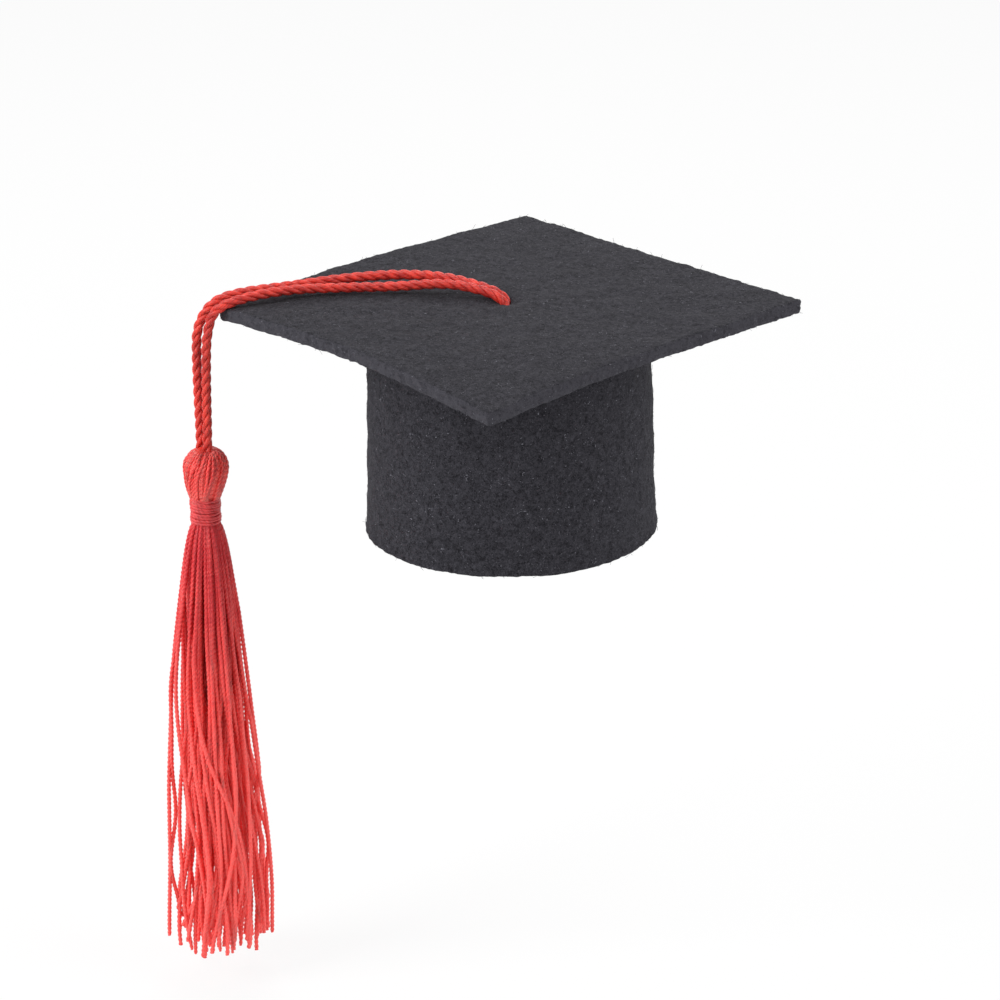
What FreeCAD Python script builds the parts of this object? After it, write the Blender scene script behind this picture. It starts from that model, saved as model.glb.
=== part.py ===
"""A small stiff-felt graduation cap with a tassel on a doubled twisted cord.

Millimetres, +Z up. The origin is the middle of the head opening, level with the rim.
The board's corners point along X and Y: -Y is the front corner, and the tassel hangs at -X.
"""
import FreeCAD, Part

import math
import os

V = FreeCAD.Vector
UP = V(0, 0, 1)

# Board: one square of stiff felt with a punched hole for the cord
board_side = 60.0
board_thickness = 2.0
board_corner_radius = 0.8

# Crown: a strip of the same felt, rolled, with its ends meeting at the back
crown_height = 32.6
crown_rim_diameter = 42.6
crown_top_diameter = 41.0
crown_wall = 2.0
rim_lip = 0.35
rim_lip_height = 2.0
seam_gap = 0.4
glue_bead = 1.3

# Cord: two legs of one cord, knotted under the board
cord_diameter = 1.5
leg_gap = 0.1
cord_clearance = 0.35
knot_belly = 1.1
knot_height = 4.4
drop_reach = 3.0
swing_depth = 5.2
drop_length = 16.9

# Tassel: a head of folded threads round the cord's loop, a wound neck and a skirt of locks
head_radius = 3.25
head_height = 8.0
head_cheek = 2.95
loop_depth = 1.2
neck_height = 4.1
neck_radius = 2.2
neck_bore_radius = 1.65
binding_turns = 8
skirt_length = 71.8
skirt_radius = 8.2
lock_rings = 2
lock_fill = 0.88
lock_end_step = 0.7
skirt_bell_power = 0.68
skirt_shares = (0.06, 0.14, 0.28, 0.5, 0.75, 1.0)

# Gaps between pieces that move against each other
hinge_gap = 0.3
seat_gap = 0.05

# Levels and places worked out from the sizes above
board_top = crown_height + board_thickness
cord_radius = cord_diameter / 2
leg_side = (cord_diameter + leg_gap) / 2
hole_radius = leg_side + cord_radius + cord_clearance
knot_top = crown_height - hinge_gap
knot_bottom = knot_top - knot_height
corner_reach = board_side / math.sqrt(2)
drop_x = -(corner_reach + drop_reach)
swing_z = board_top - swing_depth
leg_top = swing_z - cord_radius - hinge_gap
leg_bottom = leg_top - drop_length + hinge_gap
head_centre = leg_bottom - hinge_gap - head_radius
head_top = head_centre + head_radius
neck_top = head_top - head_height
neck_bottom = neck_top - neck_height


# The legs' routes, chosen by hand: x from the hole or from the hanging legs' line, then the bow
# sideways from the leg's own line, then the height above the board's top
front_leg_points = [
    (0.0, 0.0, knot_top - board_top),
    (0.0, 0.0, 1.9),
    (-4.4, 0.6, 2.8),
    (-12.0, 2.7, 2.6),
    (-21.0, 3.3, 2.3),
    (-30.0, 1.9, 2.2),
    (drop_x + 7.6, 0.3, 2.1),
    (drop_x + 2.1, 0.0, 1.4),
    (drop_x, 0.0, -1.7),
    (drop_x, 0.0, -swing_depth),
]
rear_leg_points = [
    (0.0, 0.0, knot_top - board_top),
    (0.0, 0.0, 1.9),
    (-4.3, 1.1, 3.1),
    (-12.0, 3.8, 3.0),
    (-21.0, 4.4, 2.7),
    (-30.0, 2.6, 2.4),
    (drop_x + 7.6, 0.5, 2.2),
    (drop_x + 2.1, 0.0, 1.4),
    (drop_x, 0.0, -1.7),
    (drop_x, 0.0, -swing_depth),
]

# The tails' routes below the knot, in the same terms, but with heights from the knot's underside
front_tail_points = [
    (0.0, 0.0, 0.0),
    (0.0, 0.0, -2.0),
    (-1.0, -1.5, -3.3),
]
rear_tail_points = [
    (0.0, 0.0, 0.0),
    (0.0, 0.0, -1.8),
    (1.2, 1.3, -3.1),
]


def route(points, side, level):
    """A leg's or tail's points in the model's frame: its side is -1 in front and 1 behind."""
    return [V(x, side * leg_side + bow, level + height) for x, bow, height in points]


def solid_of(shape):
    """The single solid inside a boolean's result."""
    return shape.Solids[0]


def revolved(edges, centre):
    """A half outline in the XZ plane, turned a full turn about the upright line through centre."""
    return solid_of(Part.Face(Part.Wire(edges)).revolve(centre, UP, 360))


def polyline(points):
    """Straight edges through the points, and back to the first."""
    closed = points + points[:1]
    return [Part.LineSegment(a, b).toShape() for a, b in zip(closed, closed[1:])]


def cord_path(points, name):
    """Straight runs joined by tangent arcs, each as large as its two runs allow."""
    edges = []
    start = points[0]
    radii = []
    for before, corner, after in zip(points, points[1:], points[2:]):
        back = (before - corner).normalize()
        ahead = (after - corner).normalize()
        half_turn = (math.pi - back.getAngle(ahead)) / 2
        shorter = min((corner - before).Length, (after - corner).Length)
        tangent = 0.45 * shorter
        radius = tangent / math.tan(half_turn)
        radii.append(round(radius, 2))
        enter = corner + back * tangent
        leave = corner + ahead * tangent
        inward = (back + ahead).normalize()
        middle = corner + inward * (radius / math.cos(half_turn) - radius)
        edges.append(Part.LineSegment(start, enter).toShape())
        edges.append(Part.Arc(enter, middle, leave).toShape())
        start = leave
    edges.append(Part.LineSegment(start, points[-1]).toShape())
    print(name, "arc radii", radii)
    return Part.Wire(edges)


def tube(points, name):
    """A round tube of the cord's diameter along a route, its volume compared with the route's."""
    path = cord_path(points, name)
    heading = (points[1] - points[0]).normalize()
    ring = Part.Wire(Part.Circle(points[0], heading, cord_radius).toShape())
    solid = solid_of(path.makePipeShell([ring], True, False))
    expected = math.pi * cord_radius ** 2 * path.Length
    print(name, "length", round(path.Length, 2), "volume ratio", round(solid.Volume / expected, 4))
    return solid


def mortarboard():
    """The square board, turned so that its corners point along X and Y, with the cord's hole."""
    corner = V(-board_side / 2, -board_side / 2, crown_height)
    slab = Part.makeBox(board_side, board_side, board_thickness, corner)
    upright = [e for e in slab.Edges if abs(e.tangentAt(0).z) > 0.9]
    slab = slab.makeFillet(board_corner_radius, upright)
    slab.rotate(V(0, 0, 0), UP, 45)
    hole = Part.makeCylinder(hole_radius, board_thickness, V(0, 0, crown_height))
    return solid_of(slab.cut(hole))


def crown_shell():
    """The rolled strip as a full tube: a slight flare, and a small lip at the rim."""
    rim = crown_rim_diameter / 2
    top = crown_top_diameter / 2
    outline = [
        V(rim + rim_lip, 0, 0),
        V(rim, 0, rim_lip_height),
        V(top, 0, crown_height),
        V(top - crown_wall, 0, crown_height),
        V(rim - crown_wall, 0, rim_lip_height),
        V(rim + rim_lip - crown_wall, 0, 0),
    ]
    return revolved(polyline(outline), V(0, 0, 0))


def seam_slot():
    """The upright slot at the back, +Y, where the strip's two ends meet."""
    reach = crown_rim_diameter
    return Part.makeBox(seam_gap, reach, crown_height, V(-seam_gap / 2, 0, 0))


def board_glue_bead():
    """The bead of glue round the inside corner between the crown and the board."""
    wall = crown_top_diameter / 2 - crown_wall
    flare = (crown_rim_diameter - crown_top_diameter) / 2 / (crown_height - rim_lip_height)
    outline = [
        V(wall, 0, crown_height),
        V(wall + flare * glue_bead, 0, crown_height - glue_bead),
        V(wall - glue_bead, 0, crown_height),
    ]
    return revolved(polyline(outline), V(0, 0, 0))


def cord_knot():
    """The overhand knot under the board: a barrel with round shoulders, flat at both ends."""
    flat = leg_side + cord_radius + seat_gap
    waist = flat + knot_belly
    lean = flat + knot_belly * math.sqrt(0.5)
    drop = knot_belly * (1 - math.sqrt(0.5))
    edges = [
        Part.LineSegment(V(0, 0, knot_bottom), V(flat, 0, knot_bottom)).toShape(),
        Part.Arc(
            V(flat, 0, knot_bottom),
            V(lean, 0, knot_bottom + drop),
            V(waist, 0, knot_bottom + knot_belly),
        ).toShape(),
        Part.LineSegment(
            V(waist, 0, knot_bottom + knot_belly),
            V(waist, 0, knot_top - knot_belly),
        ).toShape(),
        Part.Arc(
            V(waist, 0, knot_top - knot_belly),
            V(lean, 0, knot_top - drop),
            V(flat, 0, knot_top),
        ).toShape(),
        Part.LineSegment(V(flat, 0, knot_top), V(0, 0, knot_top)).toShape(),
        Part.LineSegment(V(0, 0, knot_top), V(0, 0, knot_bottom)).toShape(),
    ]
    return revolved(edges, V(0, 0, 0))


def leg_over_board(points, side, name):
    """One leg from the knot, up through the hole, over the board and its corner.

    Its far end is a half ball, centred on the axis that the hanging leg swings about.
    """
    places = route(points, side, board_top)
    ball = Part.makeSphere(cord_radius, places[-1])
    return solid_of(tube(places, name).fuse(ball).removeSplitter())


def tail(points, side, name):
    """One of the cord's two cut ends, below the knot."""
    return tube(route(points, side, knot_bottom), name)


def hanging_leg(side):
    """One straight leg between the board's corner and the tassel's head."""
    length = leg_top - leg_bottom
    return Part.makeCylinder(cord_radius, length, V(drop_x, side * leg_side, leg_bottom))


def cord_loop():
    """The cord's bend inside the head: two short legs joined by half a ring."""
    top = head_top
    low = head_centre - loop_depth
    left = V(drop_x, -leg_side, low)
    right = V(drop_x, leg_side, low)
    bend = V(drop_x, 0, low - leg_side)
    path = Part.Wire([
        Part.LineSegment(V(drop_x, -leg_side, top), left).toShape(),
        Part.Arc(left, bend, right).toShape(),
        Part.LineSegment(right, V(drop_x, leg_side, top)).toShape(),
    ])
    ring = Part.Wire(Part.Circle(V(drop_x, -leg_side, top), UP, cord_radius).toShape())
    bent = solid_of(path.makePipeShell([ring], True, False))
    ball = Part.makeSphere(head_radius, V(drop_x, 0, head_centre))
    return solid_of(bent.common(ball))


def tassel_head():
    """The bulb of folded threads: round above, drawn in to the neck, hollow where the loop lies."""
    waist_z = (head_centre + neck_top) / 2
    crest = V(drop_x, 0, head_top)
    shoulder = V(drop_x + head_radius * math.sqrt(0.5), 0, head_centre + head_radius * math.sqrt(0.5))
    side = V(drop_x + head_radius, 0, head_centre)
    cheek = V(drop_x + head_cheek, 0, waist_z)
    neck = V(drop_x + neck_radius, 0, neck_top)
    foot = V(drop_x, 0, neck_top)
    edges = [
        Part.Arc(crest, shoulder, side).toShape(),
        Part.Arc(side, cheek, neck).toShape(),
        Part.LineSegment(neck, foot).toShape(),
        Part.LineSegment(foot, crest).toShape(),
    ]
    return solid_of(revolved(edges, V(drop_x, 0, 0)).cut(cord_loop()))


def neck_binding():
    """The thread wound round the neck: a sleeve with one rounded rib to each turn."""
    pitch = neck_height / binding_turns
    groove = neck_radius - 0.35 * pitch
    edges = []
    for turn in range(binding_turns):
        low = neck_bottom + turn * pitch
        start = V(drop_x + groove, 0, low)
        crest = V(drop_x + neck_radius, 0, low + pitch / 2)
        end = V(drop_x + groove, 0, low + pitch)
        edges.append(Part.Arc(start, crest, end).toShape())
    outer_low = V(drop_x + groove, 0, neck_bottom)
    outer_high = V(drop_x + groove, 0, neck_top)
    inner_high = V(drop_x + neck_bore_radius, 0, neck_top)
    inner_low = V(drop_x + neck_bore_radius, 0, neck_bottom)
    edges.append(Part.LineSegment(outer_high, inner_high).toShape())
    edges.append(Part.LineSegment(inner_high, inner_low).toShape())
    edges.append(Part.LineSegment(inner_low, outer_low).toShape())
    return revolved(edges, V(drop_x, 0, 0))


def lock_places():
    """Centres of locks in a honeycomb, in units of one lock's radius, from the middle out."""
    places = []
    for row in range(-lock_rings, lock_rings + 1):
        for column in range(-lock_rings, lock_rings + 1):
            if abs(row + column) <= lock_rings:
                x = 2 * column + row
                y = math.sqrt(3) * row
                places.append((x, y))
    return sorted(places, key=lambda p: (round(math.hypot(*p), 3), math.atan2(p[1], p[0])))


def skirt_levels(end):
    """Heights and bundle radii from the head down: straight in the neck, then a bell that slows."""
    inside = neck_bore_radius - seat_gap
    levels = [(neck_top, inside), (neck_bottom, inside)]
    for share in skirt_shares:
        bell = (1 - (1 - share) ** 2) ** skirt_bell_power
        radius = inside + (skirt_radius - inside) * bell
        levels.append((neck_bottom - share * (neck_bottom - end), radius))
    return levels


def skirt_lock(place, number):
    """One lock of threads: a ruled horn that leaves the neck and spreads with its neighbours."""
    spread = 2 * lock_rings + 1
    end = neck_bottom - skirt_length + lock_end_step * (number % 4)
    rings = []
    for height, radius in skirt_levels(end):
        unit = radius / spread
        centre = V(drop_x + place[0] * unit, place[1] * unit, height)
        rings.append(Part.Wire(Part.Circle(centre, UP, lock_fill * unit).toShape()))
    return solid_of(Part.makeLoft(rings, True, True))


def build():
    """Every piece of the cap by name."""
    shell = crown_shell()
    slot = seam_slot()
    pieces = {
        "mortarboard": mortarboard(),
        "crown_band": solid_of(shell.cut(slot)),
        "crown_seam_glue": solid_of(shell.common(slot)),
        "board_glue_bead": board_glue_bead(),
        "cord_knot": cord_knot(),
        "cord_front_leg": leg_over_board(front_leg_points, -1, "cord_front_leg"),
        "cord_rear_leg": leg_over_board(rear_leg_points, 1, "cord_rear_leg"),
        "cord_front_tail": tail(front_tail_points, -1, "cord_front_tail"),
        "cord_rear_tail": tail(rear_tail_points, 1, "cord_rear_tail"),
        "cord_front_drop": hanging_leg(-1),
        "cord_rear_drop": hanging_leg(1),
        "cord_loop": cord_loop(),
        "tassel_head": tassel_head(),
        "neck_binding": neck_binding(),
    }
    for number, place in enumerate(lock_places(), start=1):
        pieces[f"skirt_lock_{number:02d}"] = skirt_lock(place, number)
    return pieces


os.makedirs("parts", exist_ok=True)
for name, piece in build().items():
    piece.exportStep(f"parts/{name}.step")
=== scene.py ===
"""The looks of a small stiff-felt graduation cap with a tassel on a doubled twisted cord.

Metres, +Z up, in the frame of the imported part. The board's corners point along X and Y: the front
corner is at -Y and the tassel hangs at the -X corner.
"""
import math

import bpy
import numpy as np
from mathutils import Matrix, Vector


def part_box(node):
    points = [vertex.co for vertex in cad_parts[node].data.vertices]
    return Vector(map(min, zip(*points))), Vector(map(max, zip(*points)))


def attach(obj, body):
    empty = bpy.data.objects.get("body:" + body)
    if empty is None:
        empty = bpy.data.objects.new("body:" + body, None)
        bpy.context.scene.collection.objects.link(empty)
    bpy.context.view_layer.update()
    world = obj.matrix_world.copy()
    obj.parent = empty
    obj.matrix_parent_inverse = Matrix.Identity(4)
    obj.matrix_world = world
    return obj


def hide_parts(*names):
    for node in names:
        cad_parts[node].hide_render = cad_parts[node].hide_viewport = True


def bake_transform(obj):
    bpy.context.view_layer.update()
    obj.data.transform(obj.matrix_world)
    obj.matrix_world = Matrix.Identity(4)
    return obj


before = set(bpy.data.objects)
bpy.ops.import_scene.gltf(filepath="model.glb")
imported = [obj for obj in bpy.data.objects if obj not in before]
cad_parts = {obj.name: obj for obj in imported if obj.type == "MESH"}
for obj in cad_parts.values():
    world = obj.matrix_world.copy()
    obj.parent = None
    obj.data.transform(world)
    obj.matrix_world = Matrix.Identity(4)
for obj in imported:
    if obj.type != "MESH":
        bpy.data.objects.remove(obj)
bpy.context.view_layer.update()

MM = 0.001
TAU = 2 * math.pi


def node_box(node):
    """A CAD node's lowest and highest corners as arrays."""
    low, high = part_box(node)
    return np.array(low), np.array(high)


# ---------------------------------------------------------------- places read from the frame

board_low, board_high = node_box("mortarboard")
crown_low, crown_high = node_box("crown_band")
head_high = node_box("tassel_head")[1]
neck_low, neck_high = node_box("neck_binding")
knot_low, knot_high = node_box("cord_knot")
drop_low, drop_high = node_box("cord_front_drop")
skirt_boxes = [node_box(n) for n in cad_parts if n.startswith("skirt_lock_")]
skirt_bottom = min(low[2] for low, high in skirt_boxes)
skirt_radius = max(high[1] for low, high in skirt_boxes)

board_top = board_high[2]
board_under = board_low[2]
felt = board_top - board_under
drop_x = (drop_low[0] + drop_high[0]) / 2
cord_diameter = drop_high[0] - drop_low[0]
leg_side = abs(drop_low[1] + drop_high[1]) / 2

board_side = 60.0 * MM
board_corner_radius = 0.8 * MM
crown_rim_radius = 21.3 * MM
crown_top_radius = 20.5 * MM
rim_lip_height = 2.0 * MM

# ---------------------------------------------------------------- numbers that repeat


def waves(points, size, seed, count=9):
    """Smooth noise about 0, mostly between -1 and 1, at every point of the array: the sum of plane
    waves in random directions, each about one size long, over the root of their count."""
    random = np.random.default_rng(seed)
    heading = random.normal(size=(count, points.shape[-1]))
    heading /= np.linalg.norm(heading, axis=1)[:, None]
    length = size * random.uniform(0.6, 1.7, count)
    phase = random.uniform(0, TAU, count)
    angle = points @ (heading / length[:, None]).T * TAU + phase
    return np.sin(angle).sum(axis=-1) / math.sqrt(count)


def unit(vectors):
    """Each vector over its own length."""
    return vectors / np.linalg.norm(vectors, axis=-1, keepdims=True)


def smooth_step(x):
    """0 below 0, 1 above 1, and 3x^2 - 2x^3 between."""
    x = np.clip(x, 0, 1)
    return x * x * (3 - 2 * x)


# ---------------------------------------------------------------- meshes


def grid_faces(rows, columns, wrap_rows=False, wrap_columns=True, first=0):
    """Four corners of each cell of a grid of points, numbered row by row."""
    r = np.arange(rows if wrap_rows else rows - 1)
    c = np.arange(columns if wrap_columns else columns - 1)
    r, c = np.meshgrid(r, c, indexing="ij")
    up = (r + 1) % rows
    on = (c + 1) % columns
    cells = [r * columns + c, r * columns + on, up * columns + on, up * columns + c]
    return first + np.stack(cells, axis=-1).reshape(-1, 4)


def add_piece(name, points, faces, material, body=None, thread=None):
    """A smooth mesh of those points and faces, riding on a body if one is named. thread is a vector
    at each point that follows the surface, for patterns that run along a yarn or a wall."""
    mesh = bpy.data.meshes.new(name)
    mesh.from_pydata(points.reshape(-1, 3).tolist(), [], faces)
    mesh.shade_smooth()
    if thread is not None:
        field = mesh.attributes.new("thread", "FLOAT_VECTOR", "POINT")
        field.data.foreach_set("vector", thread.astype(np.float32).ravel())
    mesh.materials.append(material)
    piece = bpy.data.objects.new(name, mesh)
    bpy.context.scene.collection.objects.link(piece)
    if body:
        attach(piece, body)
    return piece


def tubes(paths, radius, sides, across, swell=None, twist=0.0, groove=0.0):
    """Closed tubes along n paths of m points each, as points, faces and the thread vector.

    A ring lies square to its path: radius * (cos a * side + sin a * other), where a goes round it.
    Two plies are a groove that winds: radius * (1 - g + g * cos(2 * (a + twist * length))), with
    twist for each millimetre. swell scales the radius along the path, so that a thread can thin
    out towards its tip. The thread vector is cos a, sin a and the length in millimetres.
    """
    n, m = paths.shape[:2]
    along = unit(np.gradient(paths, axis=1))
    side = unit(across - (across * along).sum(-1, keepdims=True) * along)
    other = np.cross(along, side)
    step = np.linalg.norm(np.diff(paths, axis=1), axis=-1)
    length = np.concatenate([np.zeros((n, 1)), np.cumsum(step, axis=1)], axis=1)
    a = np.arange(sides) / sides * TAU
    ring = np.cos(a)[:, None] * side[:, :, None, :] + np.sin(a)[:, None] * other[:, :, None, :]
    size = radius * (np.ones((n, m)) if swell is None else swell)[:, :, None]
    winding = 2 * (a + twist * length[:, :, None] / MM)
    size = size * (1 - groove + groove * np.cos(winding))
    points = paths[:, :, None, :] + size[..., None] * ring
    thread = np.stack(np.broadcast_arrays(np.cos(a), np.sin(a), length[:, :, None] / MM), -1)
    first = np.arange(n)[:, None] * m * sides
    faces = (grid_faces(m, sides)[None] + first[:, :, None]).reshape(-1, 4)
    start = first + np.arange(sides)[::-1]
    finish = first + (m - 1) * sides + np.arange(sides)
    faces = faces.tolist() + start.tolist() + finish.tolist()
    return points.reshape(-1, 3), faces, thread.reshape(-1, 3)


def joined(parts):
    """Several sets of points, faces and thread vectors as one set."""
    points = np.concatenate([p for p, f, t in parts])
    thread = np.concatenate([t for p, f, t in parts])
    faces = []
    first = 0
    for p, f, t in parts:
        faces += [[first + corner for corner in face] for face in f]
        first += len(p)
    return points, faces, thread


# ---------------------------------------------------------------- shader tools


class Shader:
    """A material's or a group's node tree, with short calls that add a node and return its output."""

    def __init__(self, tree):
        self.tree = tree

    def node(self, kind, inputs=None, **settings):
        node = self.tree.nodes.new(kind)
        for key, value in settings.items():
            setattr(node, key, value)
        for key, value in (inputs or {}).items():
            if isinstance(value, bpy.types.NodeSocket):
                self.tree.links.new(value, node.inputs[key])
            else:
                node.inputs[key].default_value = value
        return node

    def math(self, operation, a, b=0.0):
        return self.node("ShaderNodeMath", {0: a, 1: b}, operation=operation).outputs[0]

    def vector(self, operation, a, b=(0, 0, 0)):
        return self.node("ShaderNodeVectorMath", {0: a, 1: b}, operation=operation).outputs[0]

    def noise(self, place, scale, detail=2.0, roughness=0.5, distortion=0.0):
        values = {"Vector": place, "Scale": scale, "Detail": detail,
                  "Roughness": roughness, "Distortion": distortion}
        return self.node("ShaderNodeTexNoise", values).outputs["Fac"]

    def spread(self, value, low, high, to_low=0.0, to_high=1.0):
        values = {0: value, 1: low, 2: high, 3: to_low, 4: to_high}
        return self.node("ShaderNodeMapRange", values).outputs[0]

    def mix(self, share, a, b):
        values = {"Factor": share, "A": a, "B": b}
        node = self.node("ShaderNodeMix", None, data_type="RGBA")
        for key, value in values.items():
            socket = [i for i in node.inputs if i.name == key and i.enabled][0]
            if isinstance(value, bpy.types.NodeSocket):
                self.tree.links.new(value, socket)
            else:
                socket.default_value = value
        return [o for o in node.outputs if o.enabled][0]


def new_group(name, inputs, outputs):
    """A shader node group with those named sockets, and the tools to fill it."""
    tree = bpy.data.node_groups.new(name, "ShaderNodeTree")
    for label, kind, value in inputs:
        socket = tree.interface.new_socket(label, in_out="INPUT", socket_type=kind)
        if value is not None:
            socket.default_value = value
    for label, kind in outputs:
        tree.interface.new_socket(label, in_out="OUTPUT", socket_type=kind)
    shader = Shader(tree)
    entry = shader.node("NodeGroupInput").outputs
    leave = shader.node("NodeGroupOutput").inputs
    return shader, entry, leave


def yarn_group():
    """A spun yarn. The thread vector is turned by Twist for each millimetre along it, so that fibre
    streaks, drawn out along the yarn, wind round it. Ply is the depth of the two plies' grooves,
    which lie where the turned vector has no sideways part; it also paints the grooves darker, as
    painted shade, and the plies' crowns paler, as painted light. Fade paints shade and light by
    height: the yarn is painted darker at the height Top and paler down to the height Foot, as
    painted shade in the dense top of the skirt and painted light near its ends."""
    shader, entry, leave = new_group(
        "yarn streaks",
        [("Streak", "NodeSocketFloat", 2.2), ("Draw", "NodeSocketFloat", 0.35),
         ("Twist", "NodeSocketFloat", 2.0), ("Ply", "NodeSocketFloat", 0.0),
         ("Fade", "NodeSocketFloat", 0.0), ("Top", "NodeSocketFloat", 0.0),
         ("Foot", "NodeSocketFloat", -0.07),
         ("Dark", "NodeSocketColor", None), ("Light", "NodeSocketColor", None)],
        [("Color", "NodeSocketColor"), ("Height", "NodeSocketFloat"),
         ("Roughness", "NodeSocketFloat")],
    )
    place = shader.node("ShaderNodeTexCoord").outputs["Object"]
    thread = shader.node("ShaderNodeAttribute", attribute_name="thread").outputs["Vector"]
    along = shader.node("ShaderNodeSeparateXYZ", {0: thread}).outputs[2]
    turn = shader.math("MULTIPLY", along, entry["Twist"])
    turned = shader.node("ShaderNodeVectorRotate", {"Vector": thread, "Angle": turn},
                         rotation_type="Z_AXIS").outputs[0]
    drawn = shader.node("ShaderNodeCombineXYZ", {0: 1.0, 1: 1.0, 2: entry["Draw"]}).outputs[0]
    fine = shader.noise(shader.vector("MULTIPLY", turned, drawn), entry["Streak"], 3.0, 0.6)
    slow = shader.noise(shader.vector("MULTIPLY", place, (1.0, 1.0, 0.12)), 900.0, 2.0)
    side = shader.math("ABSOLUTE", shader.node("ShaderNodeSeparateXYZ", {0: turned}).outputs[0])
    # crown is the plies' relief, high on their crowns and low in the grooves; it feeds both the bump
    # and the painted shade below.
    crown = shader.math("MULTIPLY", shader.math("SUBTRACT", side, 0.64), entry["Ply"])
    height = shader.node("ShaderNodeSeparateXYZ", {0: place}).outputs[2]
    # pale runs from -0.5 at the height Top to 0.5 at the height Foot: painted shade up by the neck,
    # painted light towards the ends.
    pale = shader.spread(height, entry["Top"], entry["Foot"], -0.5, 0.5)
    shade = shader.math("ADD", shader.math("MULTIPLY", fine, 0.6), shader.math("MULTIPLY", slow, 0.4))
    # Painted shade in the ply grooves and painted light on the plies' crowns.
    shade = shader.math("ADD", shade, shader.math("MULTIPLY", crown, 0.2))
    # Fade scales that painted shade and light by height into the colour's share.
    shade = shader.math("ADD", shade, shader.math("MULTIPLY", pale, entry["Fade"]))
    share = shader.spread(shade, 0.34, 0.66)
    shader.tree.links.new(shader.mix(share, entry["Dark"], entry["Light"]), leave["Color"])
    relief = shader.math("ADD", shader.math("MULTIPLY", fine, 0.6), crown)
    shader.tree.links.new(relief, leave["Height"])
    shader.tree.links.new(shader.spread(fine, 0.2, 0.8, 0.6, 0.4), leave["Roughness"])
    return shader.tree


def fleck_group():
    """Pressed felt: matted fibres from distorted noise in several sizes, and rare pale flecks. It is
    paler where the thread vector's first value is high: on a cut edge, and on one side of a loose
    fibre."""
    shader, entry, leave = new_group(
        "pressed fibres",
        [("Grain", "NodeSocketFloat", 3000.0), ("Dark", "NodeSocketColor", None),
         ("Light", "NodeSocketColor", None), ("Fleck", "NodeSocketColor", None)],
        [("Color", "NodeSocketColor"), ("Height", "NodeSocketFloat"),
         ("Roughness", "NodeSocketFloat")],
    )
    place = shader.node("ShaderNodeTexCoord").outputs["Object"]
    grain = entry["Grain"]
    hair = shader.noise(place, grain, 3.0, 0.65, 1.6)
    mat = shader.noise(place, shader.math("MULTIPLY", grain, 0.37), 2.0, 0.5, 0.8)
    cloud = shader.noise(place, 90.0, 2.0, 0.5)
    shade = shader.math("ADD", shader.math("MULTIPLY", hair, 0.72), shader.math("MULTIPLY", mat, 0.28))
    share = shader.spread(shade, 0.38, 0.62)
    share = shader.math("MULTIPLY", share, shader.spread(cloud, 0.3, 0.7, 0.88, 1.0))
    thread = shader.node("ShaderNodeAttribute", attribute_name="thread").outputs["Vector"]
    cut = shader.node("ShaderNodeSeparateXYZ", {0: thread}).outputs[0]
    share = shader.math("ADD", share, shader.math("MULTIPLY", cut, 0.42))
    color = shader.mix(share, entry["Dark"], entry["Light"])
    speck = shader.noise(place, shader.math("MULTIPLY", grain, 0.6), 1.0, 0.5, 2.5)
    rare = shader.spread(speck, 0.71, 0.76)
    shader.tree.links.new(shader.mix(rare, color, entry["Fleck"]), leave["Color"])
    shader.tree.links.new(shade, leave["Height"])
    shader.tree.links.new(shader.spread(shade, 0.3, 0.7, 0.95, 0.85), leave["Roughness"])
    return shader.tree


YARN = yarn_group()
FELT = fleck_group()


def colour(red, green, blue):
    """A colour given as it shows on a screen, 0 to 255, as linear values with full alpha."""
    c = np.array([red, green, blue]) / 255
    linear = np.where(c <= 0.04045, c / 12.92, ((c + 0.055) / 1.055) ** 2.4)
    return (*linear.tolist(), 1.0)


def finish_of(name, group, values, bump, distance, **shader_values):
    """A material: a group's colour, roughness and height on a Principled BSDF."""
    material = bpy.data.materials.new(name)
    material.use_nodes = True
    shader = Shader(material.node_tree)
    principled = material.node_tree.nodes["Principled BSDF"]
    pattern = shader.node("ShaderNodeGroup", None, node_tree=group)
    for key, value in values.items():
        pattern.inputs[key].default_value = value
    relief = shader.node("ShaderNodeBump", {"Strength": bump, "Distance": distance,
                                            "Height": pattern.outputs["Height"]})
    links = material.node_tree.links
    links.new(pattern.outputs["Color"], principled.inputs["Base Color"])
    links.new(pattern.outputs["Roughness"], principled.inputs["Roughness"])
    links.new(relief.outputs["Normal"], principled.inputs["Normal"])
    for key, value in shader_values.items():
        principled.inputs[key.replace("_", " ")].default_value = value
    return material


def felt_finish(name, dark, light):
    """Dry pressed felt: nearly no gloss, and a faint sheen from the standing fibres."""
    values = {"Dark": dark, "Light": light, "Fleck": colour(120, 120, 128)}
    return finish_of(name, FELT, values, 0.9, 0.16 * MM,
                     Specular_IOR_Level=0.08, Sheen_Weight=0.02, Sheen_Roughness=0.6)


def yarn_finish(name, dark, light, twist, ply, painted_light=0.0):
    """Viscose thread: streaks along the yarn, its two plies' grooves with painted shade, painted shade
    and light by height as strong as fade, and a low satin gloss.
    """
    values = {"Dark": dark, "Light": light, "Twist": twist, "Ply": ply, "Fade": painted_light,
              "Top": float(neck_low[2]), "Foot": painted_light_foot}
    return finish_of(name, YARN, values, 0.7, 0.09 * MM,
                     Specular_IOR_Level=0.45, Sheen_Weight=0.03, Sheen_Roughness=0.4,
                     Subsurface_Weight=0.5, Subsurface_Radius=(1.0, 0.2, 0.2),
                     Subsurface_Scale=0.4 * MM)


# The height down to which the skirt's painted light grows; its painted shade is up at the neck.
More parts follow.
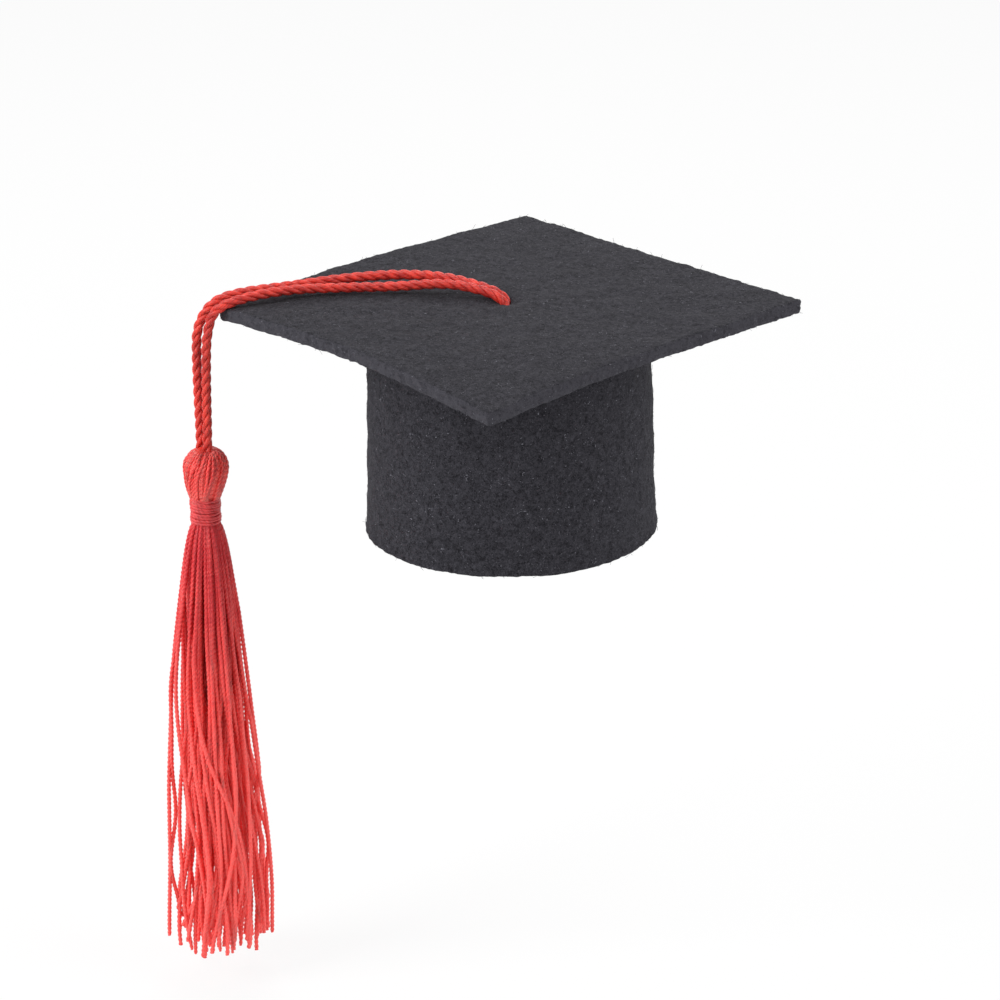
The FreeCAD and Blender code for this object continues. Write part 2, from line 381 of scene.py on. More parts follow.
painted_light_foot = 0.55 * float(skirt_bottom)
cord_twist = 3.4
thread_twist = -4.2
wrap_twist = -5.0
felt_top_finish = felt_finish("charcoal felt", colour(24, 23, 27), colour(66, 65, 71))
felt_fibre_finish = felt_finish("felt fibres", colour(46, 45, 50), colour(94, 93, 100))
# The fifth value of each is its ply, which also sets how strongly its grooves are painted darker as
# painted shade.
cord_finish = yarn_finish("twisted red cord", colour(150, 16, 20), colour(242, 68, 50), cord_twist, 0.0)
head_finish = yarn_finish("head thread", colour(212, 32, 34), colour(255, 100, 92), thread_twist, 0.8)
# The skirt's last value, 0.38, paints shade near the neck and light towards the thread ends.
skirt_finish = yarn_finish(
    "skirt thread", colour(204, 33, 42), colour(255, 96, 90), thread_twist, 0.5, 0.38)
wrap_finish = yarn_finish("binding thread", colour(170, 32, 38), colour(240, 82, 84), wrap_twist, 0.4)
glue_finish = finish_of(
    "set glue", FELT,
    {"Grain": 500.0, "Dark": colour(82, 80, 78), "Light": colour(128, 126, 120),
     "Fleck": colour(165, 163, 158)},
    0.3, 0.2 * MM, Specular_IOR_Level=0.5, Coat_Weight=0.5, Coat_Roughness=0.2)


# ---------------------------------------------------------------- board and crown


def droop(x, y):
    """How far the felt board sinks below flat: each corner bends down, or up where negative, by
    its own height, growing as the square of the way past 0.35 of the reach."""
    reach = board_side / math.sqrt(2)
    bend = 0
    for ahead, height in ((-x, 1.45), (-y, 2.1), (x, -0.5), (y, 0.4)):
        bend = bend + height * MM * np.clip((ahead / reach - 0.35) / 0.65, 0, None) ** 2
    return bend


def board_outline(count):
    """Points round the board: a square with small round corners, turned by an eighth, evenly
    spaced along its length, and the outward direction at each."""
    half = board_side / 2
    straight = board_side - 2 * board_corner_radius
    arc = board_corner_radius * math.pi / 2
    along = np.arange(count) / count * 4 * (straight + arc)
    part = (along // (straight + arc)).astype(int)
    way = along - part * (straight + arc)
    bend = np.clip((way - straight) / board_corner_radius, 0, None)
    x = np.minimum(way, straight) - straight / 2 + board_corner_radius * np.sin(bend)
    y = -half + board_corner_radius * (1 - np.cos(bend))
    turn = part * math.pi / 2 - math.pi / 4
    points = np.stack([x * np.cos(turn) - y * np.sin(turn), x * np.sin(turn) + y * np.cos(turn)], -1)
    facing = turn - math.pi / 2 + bend
    return points, np.stack([np.cos(facing), np.sin(facing)], -1)


def felt_board():
    """The board as one closed ring of profiles: out over the top, round the cut edge, back under
    and up through the hole. The whole sheet follows the droop, and smooth noise dents it a little.
    The cut edge is ragged, and the top is drawn down where the cord goes in."""
    around = 720
    edge_radius = 0.42 * MM
    hole_reach = np.array([0.70 * MM, leg_side + 0.75 * MM])
    hole_middle = np.array([-0.30 * MM, 0.0])
    outline, facing = board_outline(around)
    angle = np.arctan2(outline[:, 1], outline[:, 0])
    rim = hole_middle + hole_reach * np.stack([np.cos(angle), np.sin(angle)], -1)
    over = np.linspace(0, 1, 40) ** 1.25
    turn = np.linspace(0, math.pi / 2, 5)[1:]
    wall = np.linspace(edge_radius, felt - edge_radius, 6)[1:-1]
    depth = np.concatenate([edge_radius * (1 - np.cos(turn)), wall,
                            felt - edge_radius + edge_radius * np.sin(turn)])
    pull = np.concatenate([edge_radius * (1 - np.sin(turn)), np.zeros(len(wall)),
                           edge_radius * (1 - np.cos(turn))])
    inner = outline - edge_radius * facing
    top = rim[None] + (inner - rim)[None] * over[:, None, None]
    edge = outline[None] - pull[:, None, None] * facing[None]
    hole_depths = felt * np.array([0.75, 0.5, 0.25])
    hole_wall = np.broadcast_to(rim, (len(hole_depths), around, 2))
    flat = np.concatenate([top, edge, top[-2::-1], hole_wall])
    sink = np.concatenate([np.zeros(len(top)), depth, np.full(len(top) - 1, felt), hole_depths])
    sink = np.broadcast_to(sink[:, None], flat.shape[:2])
    from_middle = np.linalg.norm(flat, axis=-1)
    edge_start = len(top)
    edge_end = edge_start + len(edge)
    place = np.stack([flat[..., 0], flat[..., 1], board_top - sink], -1)
    ragged = 0.10 * MM * waves(place, 1.1 * MM, 3) + 0.07 * MM * waves(place, 4 * MM, 4)
    ragged = ragged * smooth_step((from_middle - 20 * MM) / (8 * MM))
    ragged[:edge_start] = 0.0
    ragged[edge_end:] = 0.0
    place[..., :2] += ragged[..., None] * facing[None]
    lift = 0.07 * MM * waves(place[..., :2], 7 * MM, 5) + 0.03 * MM * waves(place[..., :2], 2 * MM, 6)
    pucker = 0.35 * MM * np.exp(-((from_middle - hole_reach[0]) / (1.6 * MM)) ** 2)
    place[..., 2] += lift - droop(flat[..., 0], flat[..., 1]) - pucker * (1 - sink / felt)
    cut = np.zeros(place.shape)
    cut[edge_start + 1:edge_end - 1] = 1.0
    faces = grid_faces(*place.shape[:2], wrap_rows=True)
    return add_piece("felt_board", place, faces.tolist(), felt_top_finish, "cap", cut)


def crown_radius(height):
    """The crown's outer radius: a straight flare below the board, and a small lip at the rim."""
    share = (height - crown_low[2]) / (crown_high[2] - crown_low[2])
    lip = crown_high[1] - crown_rim_radius
    low = np.clip(1 - (height - crown_low[2]) / rim_lip_height, 0, 1)
    return crown_rim_radius + (crown_top_radius - crown_rim_radius) * share + lip * low ** 1.5


def crown_profile():
    """The rolled strip's section, as heights and as depths in from its outer face: down the outer
    wall, round the rim's two small corners, up the inner wall and over the top. The third value is
    the row where the flat of the rim starts."""
    top = crown_high[2] - 0.02 * MM
    rim = crown_low[2]
    corner = 0.45 * MM
    turn = np.linspace(0, math.pi / 2, 5)
    outer = np.linspace(top, rim + corner, 60)
    inner = np.linspace(rim + corner, top, 50)[1:]
    height = [outer, rim + corner * (1 - np.sin(turn[1:])), rim + corner * (1 - np.cos(turn)),
              inner, [top, top]]
    offset = [np.zeros(len(outer)), corner * (1 - np.cos(turn[1:])),
              felt - corner + corner * np.sin(turn), np.full(len(inner), felt),
              [0.66 * felt, 0.33 * felt]]
    flat_start = len(outer) + len(turn) - 2
    return np.concatenate(height)[:, None], np.concatenate(offset)[:, None], flat_start


def felt_crown():
    """The rolled strip as a closed ring of profiles from one end of the strip to the other. Its two
    ends face each other across a narrow seam at the back and are drawn in a little there. Smooth
    noise dents the wall and makes the rim uneven."""
    around = 540
    seam = 0.28 * MM / crown_rim_radius
    angle = math.pi / 2 + np.linspace(seam, TAU - seam, around)
    height, offset, flat_start = crown_profile()
    rows = len(height)
    outside = crown_radius(height)
    radius = np.broadcast_to(outside - offset, (rows, around)).copy()
    height = np.broadcast_to(height, radius.shape).copy()
    way = np.minimum(angle - angle[0], angle[-1] - angle) * crown_rim_radius
    pinch = 0.35 * MM * np.exp(-(way / (0.5 * MM)))
    radius += np.sign(outside - felt / 2 - radius) * pinch[None]
    flat = np.stack([radius * np.cos(angle), radius * np.sin(angle), height], -1)
    radius += 0.09 * MM * waves(flat, 9 * MM, 11) + 0.04 * MM * waves(flat, 2.2 * MM, 12)
    low = np.clip(1 - height / (3 * MM), 0, 1)
    height += low * (0.06 * MM * waves(flat, 1.3 * MM, 13) + 0.12 * MM * waves(flat, 12 * MM, 14))
    height = np.maximum(height, 0.0)
    place = np.stack([radius * np.cos(angle), radius * np.sin(angle), height], -1)
    cut = np.zeros(place.shape)
    cut[flat_start:flat_start + 4] = 0.7
    faces = grid_faces(rows, around, wrap_rows=True, wrap_columns=False)[:, ::-1].tolist()
    first_end = (np.arange(rows) * around).tolist()
    last_end = (np.arange(rows) * around + around - 1)[::-1].tolist()
    return add_piece("felt_crown", place, faces + [first_end, last_end], felt_top_finish, "cap", cut)


def seam_glue():
    """The set glue deep in the crown's seam: an upright strip of oval section, thin sideways and
    nearly as deep as the felt, with a lumpy edge."""
    rows = 90
    sides = 16
    height = np.linspace(crown_low[2] + 0.4 * MM, crown_high[2] - 0.2 * MM, rows)[:, None]
    angle = np.arange(sides)[None] / sides * TAU
    lump = 0.12 * MM * waves(height[..., None], 2.5 * MM, 41)
    middle = crown_radius(height) - felt / 2
    depth = felt / 2 - 0.42 * MM + lump
    place = np.broadcast_arrays(0.34 * MM * np.cos(angle), middle + depth * np.sin(angle), height)
    faces = grid_faces(rows, sides).tolist()
    foot = np.arange(sides)[::-1].tolist()
    top = ((rows - 1) * sides + np.arange(sides)).tolist()
    return add_piece("seam_glue", np.stack(place, -1), faces + [foot, top], glue_finish, "cap")


def fuzz(name, piece, count, longest, seed):
    """Short loose fibres on a felt piece: each leaves the middle of a face, chosen by its area, and
    bends over along the surface: root + normal * (rise * sin(2.4 t) - sink) + length * (heading * t
    + bend * t^2)."""
    mesh = piece.data
    random = np.random.default_rng(seed)
    areas = np.zeros(len(mesh.polygons))
    middles = np.zeros(len(areas) * 3)
    normals = np.zeros(len(areas) * 3)
    mesh.polygons.foreach_get("area", areas)
    mesh.polygons.foreach_get("center", middles)
    mesh.polygons.foreach_get("normal", normals)
    chosen = random.choice(len(areas), count, p=areas / areas.sum())
    root = middles.reshape(-1, 3)[chosen][:, None]
    normal = normals.reshape(-1, 3)[chosen][:, None]
    heading = unit(np.cross(normal, random.normal(size=(count, 1, 3))))
    bend = np.cross(normal, heading) * random.normal(0, 0.5, (count, 1, 1))
    way = np.linspace(0, 1, 5)[None, :, None]
    length = longest * random.uniform(0.3, 1.0, (count, 1, 1))
    rise = length * random.uniform(0.04, 0.18, (count, 1, 1))
    paths = root + normal * (rise * np.sin(2.4 * way) - fibre_sink)
    paths = paths + length * (heading * way + bend * way ** 2)
    points, faces, thread = tubes(paths, fibre_radius, 3, normal + 0.3 * bend)
    return add_piece(name, points, faces, felt_fibre_finish, "cap", thread)


fibre_radius = 0.021 * MM
fibre_sink = 0.04 * MM

board = felt_board()
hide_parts("mortarboard")
crown = felt_crown()
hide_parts("crown_band")
strip = seam_glue()
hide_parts("crown_seam_glue")
fuzz("board_fibres", board, 7000, 1.1 * MM, 31)
fuzz("crown_fibres", crown, 7000, 1.0 * MM, 32)


# ---------------------------------------------------------------- the cord

front_route = [
    (0.0, -0.0008, 0.0323),
    (-0.0003, -0.0008, 0.0346),
    (-0.0029, 0.0, 0.0359),
    (-0.0090, 0.0015, 0.0367),
    (-0.0165, 0.0021, 0.0358),
    (-0.0245, 0.0021, 0.0356),
    (-0.0325, 0.0010, 0.0356),
    (-0.0393, -0.0013, 0.0348),
    (-0.0429, -0.0016, 0.0332),
    (-0.0440, -0.0012, 0.0293),
    (-0.0443, -0.0009, 0.0255),
    (-0.0445, -0.0008, 0.0190),
    (-0.0446, -0.0006, 0.0130),
    (-0.0449, -0.0005, 0.0080),
]
rear_route = [
    (0.0, 0.0008, 0.0323),
    (-0.0003, 0.0008, 0.0347),
    (-0.0031, 0.0015, 0.0359),
    (-0.0095, 0.0035, 0.0370),
    (-0.0165, 0.0050, 0.0368),
    (-0.0245, 0.0046, 0.0362),
    (-0.0325, 0.0028, 0.0355),
    (-0.0395, 0.0010, 0.0351),
    (-0.0434, 0.0004, 0.0338),
    (-0.0457, 0.0006, 0.0299),
    (-0.0459, 0.0007, 0.0255),
    (-0.0459, 0.0007, 0.0190),
    (-0.0458, 0.0007, 0.0130),
    (-0.0459, 0.0006, 0.0080),
]


def smooth_line(name, route):
    """The points of a NURBS curve through a cord's route, read from the curve itself."""
    curve = bpy.data.curves.new(name, "CURVE")
    curve.dimensions = "3D"
    curve.resolution_u = 24
    spline = curve.splines.new("NURBS")
    spline.points.add(len(route) - 1)
    for point, place in zip(spline.points, route):
        point.co = (*place, 1.0)
    spline.order_u = 3
    spline.use_endpoint_u = True
    holder = bpy.data.objects.new(name, curve)
    mesh = bpy.data.meshes.new_from_object(holder)
    line = np.array([v.co for v in mesh.vertices])
    bpy.data.objects.remove(holder)
    bpy.data.curves.remove(curve)
    bpy.data.meshes.remove(mesh)
    return line


def evenly(line, step):
    """The same line with its points about one step apart, and its whole length."""
    way = np.concatenate([[0], np.cumsum(np.linalg.norm(np.diff(line, axis=0), axis=1))])
    count = max(8, int(way[-1] / step))
    at = np.linspace(0, way[-1], count)
    return np.stack([np.interp(at, way, line[:, k]) for k in range(3)], -1), way[-1]


def twisted_cord(line, diameter, pitch, across, plies=3, sides=14, start=0.0):
    """Plies laid round a line. Each ply's middle is a helix: line + h * (cos a * side + sin a *
    other), with a growing by one turn for each pitch, right-handed, and the plies press together."""
    ply = 0.255 * diameter
    helix = diameter / 2 - ply
    line, total = evenly(line, pitch / 26)
    along = unit(np.gradient(line, axis=0))
    side = unit(across - (across * along).sum(-1, keepdims=True) * along)
    other = np.cross(along, side)
    way = np.linspace(0, total, len(line))
    angle = TAU * way / pitch + start + np.arange(plies)[:, None] * TAU / plies
    out = np.cos(angle)[..., None] * side + np.sin(angle)[..., None] * other
    return tubes(line + helix * out, ply, sides, out)


cord_pitch = 5.2 * MM


def cord_leg(name, route, nodes, start):
    """One leg of the cord, from the knot over the board to the tassel's head."""
    line = smooth_line(name, route)
    across = np.array([0.0, 1.0, 0.0])
    points, faces, thread = twisted_cord(line, cord_diameter, cord_pitch, across, start=start)
    leg = add_piece(name, points, faces, cord_finish, thread=thread)
    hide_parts(*nodes)
    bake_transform(leg)
    return leg, evenly(line, 0.5 * MM)


front_leg, (front_line, front_length) = cord_leg(
    "front_cord", front_route, ["cord_front_leg", "cord_front_drop"], 0.0)
rear_leg, (rear_line, rear_length) = cord_leg(
    "rear_cord", rear_route, ["cord_rear_leg", "cord_rear_drop"], 2.0)


front_tail_route = [
    (0.0008, -0.0010, 0.0300),
    (0.0004, -0.0012, 0.0278),
    (-0.0002, -0.0012, 0.0262),
    (-0.0012, -0.0024, 0.0247),
]
rear_tail_route = [
    (-0.0008, 0.0010, 0.0300),
    (-0.0002, 0.0011, 0.0278),
    (0.0002, 0.0010, 0.0263),
    (0.0013, 0.0021, 0.0249),
]


def cord_knot():
    """The overhand knot under the board: a three-crossing ring, x = sin t + 2 sin 2t,
    y = cos t - 2 cos 2t, z = -sin 3t, drawn tight, and the two cut ends below it."""
    size = 0.64 * MM
    t = np.linspace(0, TAU, 260)
    height = (knot_low[2] + knot_high[2]) / 2
    ring = np.stack([size * (np.sin(t) + 2 * np.sin(2 * t)), size * (np.cos(t) - 2 * np.cos(2 * t)),
                     height - 1.12 * MM * np.sin(3 * t)], -1)
    upright = np.array([0.0, 0.0, 1.0])
    level = np.array([0.0, 1.0, 0.0])
    front = smooth_line("front_tail", front_tail_route)
    rear = smooth_line("rear_tail", rear_tail_route)
    parts = [twisted_cord(ring, cord_diameter, cord_pitch, upright)]
    parts += [twisted_cord(line, cord_diameter, cord_pitch, level) for line in (front, rear)]
    points, faces, thread = joined(parts)
    return add_piece("knot_and_tails", points, faces, cord_finish, "cord_top", thread)


# ---------------------------------------------------------------- the tassel

tassel_middle = np.array([drop_x, 0.0])
head_top = head_high[2]
head_radius = head_high[1]
head_middle = head_top - head_radius
neck_top = neck_high[2]
neck_bottom = neck_low[2]
neck_radius = neck_high[1]
fold_thread_radius = 0.27 * MM
skirt_thread_radius = 0.35 * MM


def bulb_radius(height):
    """The head's radius: a half ball above its middle, and an easy curve in to the neck below."""
    above = np.sqrt(np.clip(head_radius ** 2 - np.clip(height - head_middle, 0, None) ** 2, 0, None))
    share = np.clip((head_middle - height) / (head_middle - neck_top), 0, 1)
    below = head_radius + (0.97 * neck_radius - head_radius) * share ** 1.6
    return np.where(height > head_middle, above, below)


def around_axis(radius, angle, height):
    """Points at a radius and angle from the tassel's own line, which is upright up to the neck and
    leans a little towards the cap above it."""
    lean = 0.06 * np.clip(height - neck_top, 0, None)
    x = drop_x + lean + radius * np.cos(angle)
    return np.stack(np.broadcast_arrays(x, radius * np.sin(angle), height), -1)


def drum(name, radius, height, around, material):
    """A closed solid turned about the tassel's own line: rings of those radii and heights, from the
    top down, with a flat cap at each end."""
    rows = len(height)
    angle = np.arange(around) / around * TAU
    place = around_axis(radius[:, None], angle[None], height[:, None])
    yarn = (3 * np.cos(angle), 3 * np.sin(angle), height[:, None] / MM)
    thread = np.stack(np.broadcast_arrays(*yarn), -1)
    faces = grid_faces(rows, around)[:, ::-1].tolist()
    top = np.arange(around).tolist()
    foot = ((rows - 1) * around + np.arange(around))[::-1].tolist()
    return add_piece(name, place, faces + [top, foot], material, "tassel", thread)


def bulb_core():
    """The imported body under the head's outer threads: the bulb's curve, turned, a little smaller,
    and hollowed at the top where the cord goes in."""
    share = np.linspace(0, 1, 40)[1:-1]
    height = head_top - (head_top - neck_top) * (1 - np.cos(share * math.pi)) / 2
    radius = np.clip(bulb_radius(height) - 0.25 * MM, 0.05 * MM, None)
    hollow = 0.9 * MM * np.exp(-(radius / (1.2 * MM)) ** 2)
    return drum("tassel_head_core", radius, height - hollow, 64, head_finish)


def bulb_threads():
    """The threads folded over the cord's loop: each comes up out of a dimple round the cord, folds
    over its edge, and runs down the bulb's curve to the neck, leaning a little to one side. It is
    on the half ball for the fold's share of its way, and on the curve below for the rest."""
    random = np.random.default_rng(21)
    count = 60
    fold = 0.55
    way = np.linspace(0, 1, 96)[None]
    tip = 0.08 + 0.06 * random.random((count, 1))
    polar = (tip + (1 - tip) * np.clip(way / fold, 0, 1)) * math.pi / 2
    lower = np.clip((way - fold) / (1 - fold), 0, 1)
    height = np.where(way < fold, head_middle + head_radius * np.cos(polar),
                      head_middle - (head_middle - neck_top + 0.5 * MM) * lower)
    radius = np.where(way < fold, head_radius * np.sin(polar), bulb_radius(height))
    edge = 0.30 + 0.10 * random.random((count, 1))
    dimple = 1.5 * MM * np.exp(-(polar / edge) ** 2) * (way < fold)
    lean = 0.55 + 0.35 * random.normal(size=(count, 1))
    angle = (np.arange(count)[:, None] + 0.3 * random.normal(size=(count, 1))) / count * TAU
    angle = angle - lean * way + 0.04 * np.sin(way * 9 + angle * 5)
    lift = 0.13 * random.normal(size=(count, 1)) * np.sin(way * math.pi) - 0.10
    paths = around_axis(radius + lift * MM, angle, height - 0.08 * MM - dimple)
    out = unit(paths - around_axis(0.0, angle, head_middle))
    points, faces, thread = tubes(paths, fold_thread_radius, 8, out, twist=thread_twist, groove=0.12)
    return add_piece("tassel_head_threads", points, faces, head_finish, "tassel", thread)


def neck_wraps():
    """One thread wound round the neck: a helix whose upper turns tilt and stand out a little, over
    the bulb's foot, and whose turns are not quite even."""
    turns = 9.5
    angle = np.linspace(0, turns * TAU, 700)
    share = angle / angle[-1]
    tilt = (0.42 * (1 - share) ** 1.3 - 0.12) * MM * np.cos(angle - 2.6)
    uneven = 0.10 * MM * np.sin(angle * 0.37) * np.sin(angle * 1.21)
    pitch = (neck_top - neck_bottom + 0.4 * MM) / turns
    height = neck_top + 0.6 * MM - pitch * angle / TAU + tilt + uneven
    radius = neck_radius - 0.14 * MM + 0.16 * MM * np.exp(-share * 7) + 0.06 * MM * np.sin(angle * 1.77)
    paths = around_axis(radius, angle, height)[None]
    across = unit(paths - around_axis(0.0, angle, height)[None])
    points, faces, thread = tubes(paths, fold_thread_radius, 8, across, twist=wrap_twist, groove=0.06)
    return add_piece("neck_wraps", points, faces, wrap_finish, "tassel", thread)


def neck_core():
    """The gathered threads under the wraps: a plain drum."""
    height = np.linspace(neck_top + 0.3 * MM, neck_bottom - 0.2 * MM, 12)
    return drum("neck_core", np.full(12, neck_radius - 0.3 * MM), height, 48, wrap_finish)


golden_angle = 2.39996
tucked_in = -0.03
crossings = ((3.9, 1.5), (5.3, -0.8), (4.5, 0.7))
sways = ((1.00, 0.4, 1.0), (0.55, 1.2, 2.6), (0.14, 3.0, 6.0))


def skirt_layout(count, random):
    """Each thread's share of the bundle's radius, its angle, and how much it is drawn in at the
    waist. Every other thread belongs to the outermost layer and is evenly spaced, and the rest turn
    by the golden angle. All but every sixth are drawn in, most of all on the side far from the cap.
    The last value is true for the outermost layer."""
    order = np.arange(count)
    share = np.sqrt((order + 0.5) / count) * 0.9
    angle = order * golden_angle + 0.3 * random.normal(size=count)
    ring = order % 2 == 0
    share = np.where(ring, 1.0 - 0.20 * random.random(count), share)
    angle = np.where(ring, order / count * TAU + 0.08 * random.normal(size=count), angle)
    drawn_in = order % 6 != 0
    gather = (0.58 * np.clip(-np.cos(angle), 0, 1) + 0.22 * np.clip(np.cos(angle), 0, 1)) * drawn_in
    return share[:, None], angle[:, None], gather[:, None], ring


def skirt_paths(count, steps, seed):
    """Threads that leave the neck side by side and spread like a bell: the bundle's radius grows as
    (1 - (1 - s)^2)^0.62 of the way s, and each thread keeps its own share of it, less at the waist.
    Each has its own length, starts a little way up inside the neck, and drifts round the bundle.
    A crossing is a thread in front, given by its angle, that drifts by so many radians over the
    others. A sway is a slow wave that grows towards the ends, by its size in millimetres and its
    fewest and most turns, and is held near the bundle's outline. The threads far from the cap and
    near it stand off a little, the whole bundle bows a little along X, and one thread at the far
    side strays outwards near its end."""
    random = np.random.default_rng(seed)
    share, angle, gather, ring = skirt_layout(count, random)
    far = np.clip(-np.cos(angle), 0, 1)
    near = np.clip(np.cos(angle), 0, 1)
    full = neck_bottom - skirt_bottom
    front = 0.2 * skirt_radius * (1 - share * np.sin(angle))
    length = full - front - np.abs(random.normal(0, 3.8 * MM, (count, 1)))
    way = np.linspace(tucked_in, 1, steps)[None]
    depth = way * length
    s = np.clip(depth / full, 0, 1)
    inside = neck_radius - skirt_thread_radius
    outline = inside + (skirt_radius - inside) * (1 - (1 - s) ** 2) ** 0.62
    waist = smooth_step(s / 0.45) * (1 - 0.6 * smooth_step((s - 0.65) / 0.3))
    radius = share * outline * (1 - gather * waist)
    drift = 0.22 * random.normal(size=(count, 1)) * s ** 1.5
    for start, turned in crossings:
        over = np.argmin(np.abs(angle[:, 0] - start) + 9 * ~ring)
        drift[over] = turned * smooth_step((s[over] - 0.25) / 0.7)
        radius[over] = outline[over] + 0.3 * MM
    place = around_axis(radius, angle + drift, neck_bottom - depth)
    for size, fewest, most in sways:
        reach = random.normal(0, size * MM, (count, 1, 2))
        turn = random.uniform(fewest, most, (count, 1, 1)) * TAU
        phase = random.uniform(0, TAU, (count, 1, 2))
        sway = np.sin(turn * way[..., None] + phase) - np.sin(phase)
        place[..., :2] += reach * sway * smooth_step(s * 1.3)[..., None]
    away = place[..., :2] - tassel_middle
    reach = np.linalg.norm(away, axis=-1)
    held = reach - 0.85 * np.clip(reach - outline, 0, None)
    place[..., :2] = tassel_middle + away * (held / np.clip(reach, 1e-6, None))[..., None]
    place[..., 0] += -0.3 * MM * np.sin(s * 4.2) - 0.9 * MM * smooth_step((s - 0.72) / 0.3)
    place[..., 0] += 1.0 * MM * smooth_step((s - 0.4) / 0.35) * near
    place[..., 0] -= 0.7 * MM * smooth_step((s - 0.1) / 0.3) * far
    stray = np.argmin(np.cos(angle[:, 0]) * ring)
    place[stray, :, 0] -= 2.2 * MM * smooth_step((way[0] - 0.74) / 0.4)
    return place, share[:, 0], angle[:, 0]


def skirt():
    """The skirt's threads as five pieces: the outer threads in front and behind, each in the half
    far from the crown and the half near it, and the threads inside. Each thread's tip frays wider
    or thins over the last part of its way."""
    count = 100
    steps = 400
    fray = 0.02
    paths, share, angle = skirt_paths(count, steps, 5)
    near_end = np.clip(1 - (1 - np.linspace(tucked_in, 1, steps)) / fray, 0, 1)
    tip = 1 + 0.22 * near_end * np.random.default_rng(8).uniform(-1.6, 1, (count, 1))
    side = np.array([1.0, 0.0, 0.0])
    outer = share > 0.6
    front = np.sin(angle) < 0
    far = np.cos(angle) < 0
    pieces = []
    for name, chosen, sides in (
        ("skirt_front_far_threads", outer & front & far, 8),
        ("skirt_front_near_threads", outer & front & ~far, 8),
        ("skirt_back_far_threads", outer & ~front & far, 8),
        ("skirt_back_near_threads", outer & ~front & ~far, 8),
        ("skirt_inner_threads", ~outer, 6),
    ):
        points, faces, thread = tubes(paths[chosen], skirt_thread_radius, sides, side, tip[chosen],
                                      twist=thread_twist, groove=0.15)
        pieces.append(add_piece(name, points, faces, skirt_finish, "tassel", thread))
    return pieces


bulb = bulb_core()
bulb_skin = bulb_threads()
wraps = neck_wraps()
neck = neck_core()
strands = skirt()
locks = sorted(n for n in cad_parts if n.startswith("skirt_lock_"))
knot = cord_knot()
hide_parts("cord_knot", "cord_front_tail", "cord_rear_tail")
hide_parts("tassel_head")
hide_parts("neck_binding")
for first, piece in enumerate(strands):
    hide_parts(*locks[first::len(strands)])

for node, material in (("board_glue_bead", glue_finish), ("cord_loop", cord_finish)):
    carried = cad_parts[node]
    carried.data.materials.clear()
    carried.data.materials.append(material)

# ---------------------------------------------------------------- floor, light and camera


def plain(name, base, shown):
    """A pale surface that shows nearly white, keeps a soft shadow, and is clear from below."""
    material = bpy.data.materials.new(name)
    material.use_nodes = True
    shader = Shader(material.node_tree)
    tree = material.node_tree
    principled = tree.nodes["Principled BSDF"]
    principled.inputs["Base Color"].default_value = (base, base, base, 1)
    principled.inputs["Roughness"].default_value = 0.9
    principled.inputs["Specular IOR Level"].default_value = 0.1
    glow = shader.node("ShaderNodeEmission", {"Strength": 1.0}).outputs[0]
    rays = shader.node("ShaderNodeLightPath").outputs
    seen = shader.math("MAXIMUM", rays["Is Camera Ray"], rays["Is Glossy Ray"])
    seen = shader.math("MAXIMUM", seen, rays["Is Transmission Ray"])
    seen = shader.math("MULTIPLY", seen, shown)
    blend = shader.node("ShaderNodeMixShader", {0: seen, 1: principled.outputs[0], 2: glow})
    under = shader.node("ShaderNodeNewGeometry").outputs["Backfacing"]
    clear = shader.node("ShaderNodeBsdfTransparent").outputs[0]
    sided = shader.node("ShaderNodeMixShader", {0: under, 1: blend.outputs[0], 2: clear})
    tree.links.new(sided.outputs[0], tree.nodes["Material Output"].inputs["Surface"])
    return material


def floor():
    """A pale floor just under the tassel's ends, wide enough to fill every view."""
    half = 4.0
    shade = 0.85
    level = skirt_bottom - 2 * MM
    corners = [(-half, -half, level), (half, -half, level), (half, half, level), (-half, half, level)]
    mesh = bpy.data.meshes.new("floor")
    mesh.from_pydata(corners, [], [(0, 1, 2, 3)])
    mesh.materials.append(plain("pale floor", shade, shade))
    piece = bpy.data.objects.new("floor", mesh)
    bpy.context.scene.collection.objects.link(piece)


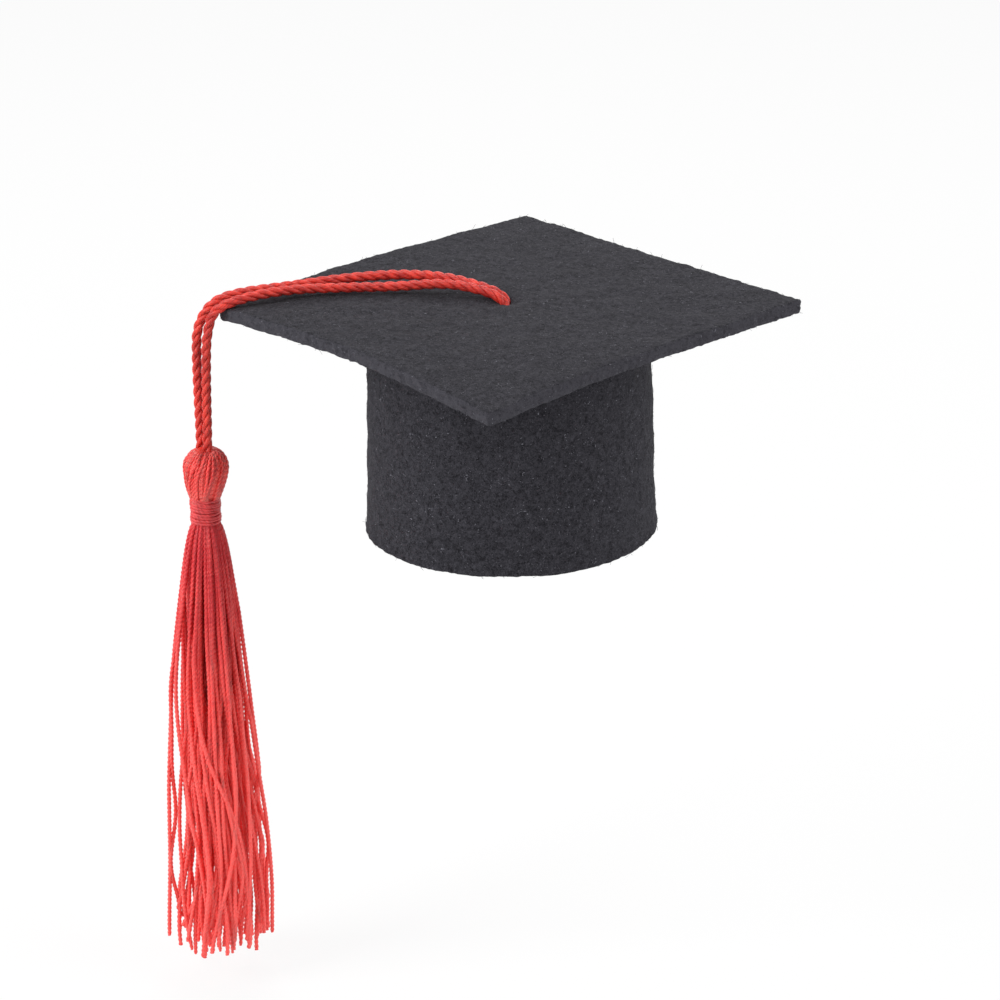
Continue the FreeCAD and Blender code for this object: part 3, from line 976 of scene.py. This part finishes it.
def lamp(name, place, aim, size, power):
    """A square soft light that faces its aim."""
    data = bpy.data.lights.new(name, "AREA")
    data.shape = "SQUARE"
    data.size = size
    data.energy = power
    light = bpy.data.objects.new(name, data)
    bpy.context.scene.collection.objects.link(light)
    heading = (Vector(aim) - Vector(place)).normalized()
    turn = heading.to_track_quat("-Z", "Y").to_matrix().to_4x4()
    light.matrix_world = Matrix.Translation(place) @ turn


def sky(strength):
    """An even white surround, which shows as plain white behind the object and lights it softly."""
    world = bpy.data.worlds.new("surround")
    bpy.context.scene.world = world
    world.use_nodes = True
    background = world.node_tree.nodes["Background"]
    background.inputs["Color"].default_value = (1, 1, 1, 1)
    shader = Shader(world.node_tree)
    rays = shader.node("ShaderNodeLightPath").outputs
    seen = shader.math("MAXIMUM", rays["Is Camera Ray"], rays["Is Glossy Ray"])
    seen = shader.math("MAXIMUM", seen, rays["Is Transmission Ray"])
    shown = shader.spread(seen, 0.0, 1.0, strength, 1.0)
    world.node_tree.links.new(shown, background.inputs["Strength"])


def camera(aim, azimuth, elevation, roll, distance, lens):
    """A camera on a line from its aim, by azimuth from -Y, elevation and roll in degrees."""
    a, e, r = (math.radians(x) for x in (azimuth, elevation, roll))
    back = Vector((math.sin(a) * math.cos(e), -math.cos(a) * math.cos(e), math.sin(e)))
    level = Vector((math.cos(a), math.sin(a), 0.0))
    upright = back.cross(level)
    right = math.cos(r) * level + math.sin(r) * upright
    up = -math.sin(r) * level + math.cos(r) * upright
    data = bpy.data.cameras.new("camera")
    data.lens = lens
    data.sensor_width = 36.0
    eye = bpy.data.objects.new("camera", data)
    bpy.context.scene.collection.objects.link(eye)
    turn = Matrix((right, up, back)).transposed().to_4x4()
    eye.matrix_world = Matrix.Translation(Vector(aim) + distance * back) @ turn
    bpy.context.scene.camera = eye


floor()
sky(strength=0.5)
lamp("key", place=(-0.54, -0.26, 0.36), aim=(-0.01, 0, 0.0), size=0.35, power=3.5)
lamp("fill", place=(0.52, -0.12, 0.26), aim=(0, 0, 0.01), size=0.4, power=1.5)
lamp("back", place=(-0.05, 0.45, 0.50), aim=(0, 0, 0.02), size=0.35, power=1.6)
camera(aim=(-0.00174, 0.00110, 0.00312), azimuth=4.05, elevation=21.29, roll=-0.82,
       distance=0.6024, lens=146.9)
bpy.context.scene.view_settings.view_transform = "Standard"
